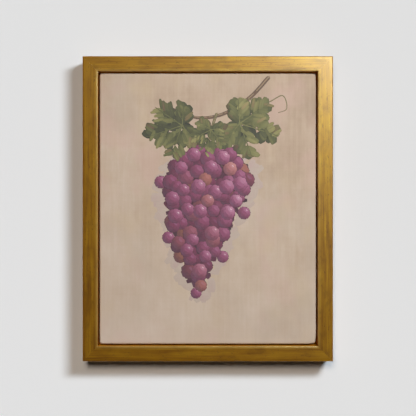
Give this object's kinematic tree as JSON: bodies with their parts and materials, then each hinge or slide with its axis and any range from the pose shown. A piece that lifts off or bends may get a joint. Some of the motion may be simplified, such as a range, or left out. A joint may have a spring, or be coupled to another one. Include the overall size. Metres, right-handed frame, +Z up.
{
  "type": "framed canvas",
  "caption": "Small stretched canvas with a painted front, set in a mitred gilded floater frame with a sawtooth hanger and bumpers behind.",
  "frame": {"origin": "the point on the wall where the hanging nail comes out, in the middle notch of the sawtooth hanger", "axes": "+Z up along the stiles, +Y into the wall, so the painted front faces -Y, and +X to the viewer's right along the top rail"},
  "size_m": [0.2348, 0.0335, 0.2856],
  "materials": {
    "gilded_wood": "antique gold leaf, brushed and rubbed",
    "pine": "bare planed pine",
    "canvas_cloth": "primed plain-weave canvas",
    "oil_paint": "satin oil paint",
    "brass_plated_steel": "satin",
    "clear_rubber": "satin",
    "zinc_steel": "zinc plated",
    "dark_steel": "oiled",
    "staple_wire": "galvanised"
  },
  "bodies": {
    "root": {"rail_top": "gilded_wood", "rail_bottom": "gilded_wood", "stile_left": "gilded_wood", "stile_right": "gilded_wood", "bar_top": "pine", "bar_bottom": "pine", "bar_left": "pine", "bar_right": "pine", "canvas": "canvas_cloth", "sawtooth_hanger": "brass_plated_steel", "hanger_nail_left": "brass_plated_steel", "hanger_nail_right": "brass_plated_steel", "bumper_left": "clear_rubber", "bumper_right": "clear_rubber", "screw_top_left": "zinc_steel", "screw_top_right": "zinc_steel", "screw_right_upper": "zinc_steel", "screw_right_lower": "zinc_steel", "screw_bottom_right": "zinc_steel", "screw_bottom_left": "zinc_steel", "screw_left_lower": "zinc_steel", "screw_left_upper": "zinc_steel", "frame_v_nail_top_left": "dark_steel", "frame_v_nail_top_right": "dark_steel", "frame_v_nail_bottom_right": "dark_steel", "frame_v_nail_bottom_left": "dark_steel", "bar_v_nail_top_left": "dark_steel", "bar_v_nail_top_right": "dark_steel", "bar_v_nail_bottom_right": "dark_steel", "bar_v_nail_bottom_left": "dark_steel", "staple_top_1": "staple_wire", "staple_top_2": "staple_wire", "staple_top_3": "staple_wire", "staple_bottom_1": "staple_wire", "staple_bottom_2": "staple_wire", "staple_bottom_3": "staple_wire", "staple_left_1": "staple_wire", "staple_left_2": "staple_wire", "staple_left_3": "staple_wire", "staple_right_1": "staple_wire", "staple_right_2": "staple_wire", "staple_right_3": "staple_wire", "staple_fold_top_left": "staple_wire", "staple_fold_top_right": "staple_wire", "staple_fold_bottom_right": "staple_wire", "staple_fold_bottom_left": "staple_wire"}
  },
  "joints": []
}
